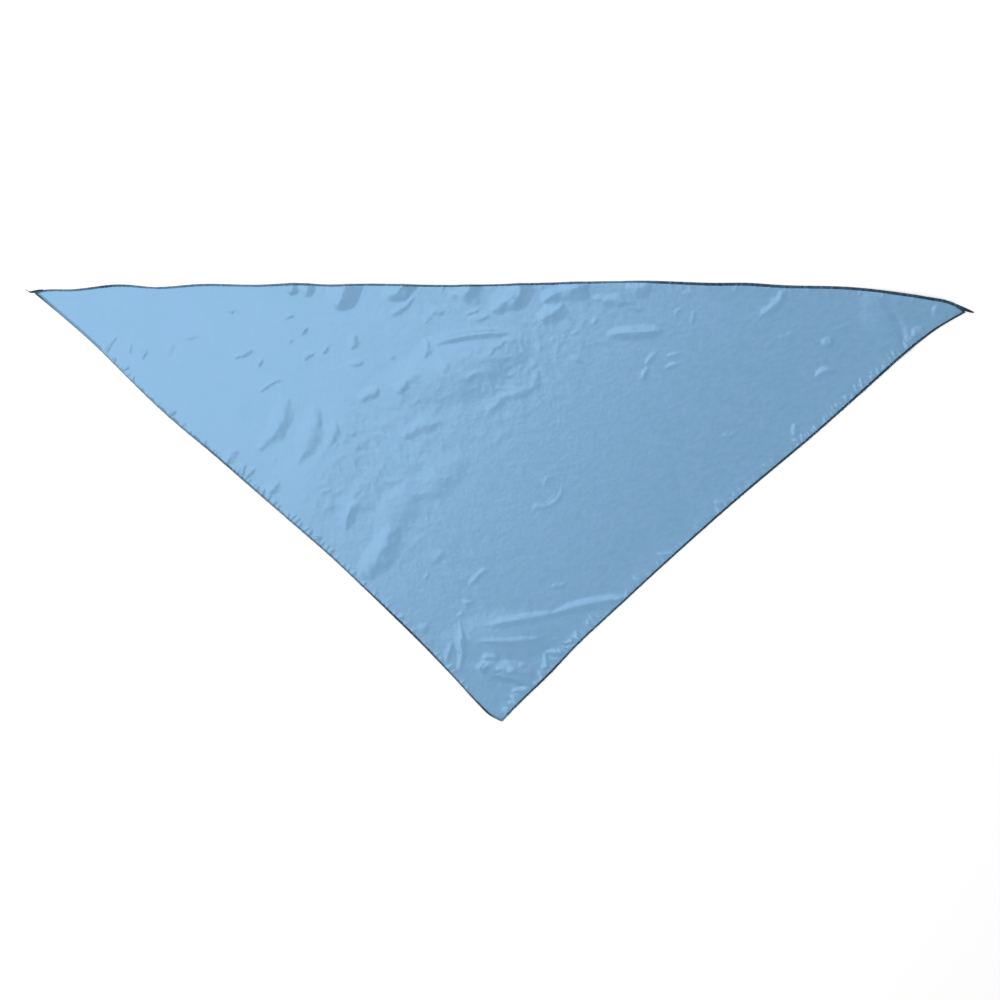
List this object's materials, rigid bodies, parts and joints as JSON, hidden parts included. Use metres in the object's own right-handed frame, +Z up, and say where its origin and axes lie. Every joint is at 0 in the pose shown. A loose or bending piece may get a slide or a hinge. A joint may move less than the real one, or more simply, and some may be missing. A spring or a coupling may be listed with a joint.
{
  "type": "triangular neckerchief",
  "caption": "Triangular satin neckerchief lying flat, sky blue, with a narrow dark rolled hem along each edge and low folds across the cloth.",
  "frame": {"origin": "middle of the outline's box, on the surface that the kerchief lies on", "axes": "+X along the long edge towards the right tip, -Y towards the point, +Z up"},
  "size_m": [0.9964, 0.4744, 0.0051],
  "materials": {
    "satin": "sky blue polyester satin, with a soft sheen",
    "hem_thread": "dark blue overlock thread, matt"
  },
  "bodies": {
    "root": {"cloth": "satin", "hem_long_edge": "hem_thread", "hem_left_edge": "hem_thread", "hem_right_edge": "hem_thread"}
  },
  "joints": []
}
